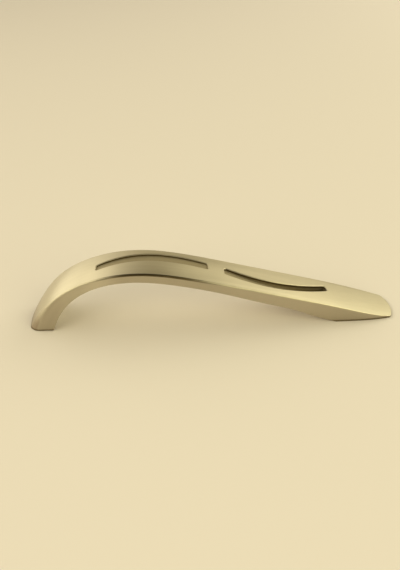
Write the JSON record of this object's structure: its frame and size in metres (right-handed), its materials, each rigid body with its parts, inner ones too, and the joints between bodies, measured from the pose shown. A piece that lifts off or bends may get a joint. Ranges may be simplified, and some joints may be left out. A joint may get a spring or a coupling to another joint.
{
  "type": "bridge pull handle",
  "caption": "Wave-shaped bridge pull handle for a drawer or door: an arched cast bar with curved grooves in its top, a slim leg at one end and a long wedge foot at the other.",
  "frame": {"origin": "on the mounting face, midway between the two screw holes", "axes": "+X along the bar towards the wedge foot, +Y across the bar, +Z away from the drawer front"},
  "size_m": [0.1586, 0.0198, 0.028],
  "materials": {
    "satin_metal": "satin champagne nickel, brushed along the bar"
  },
  "bodies": {
    "root": {"handle": "satin_metal"}
  },
  "joints": []
}
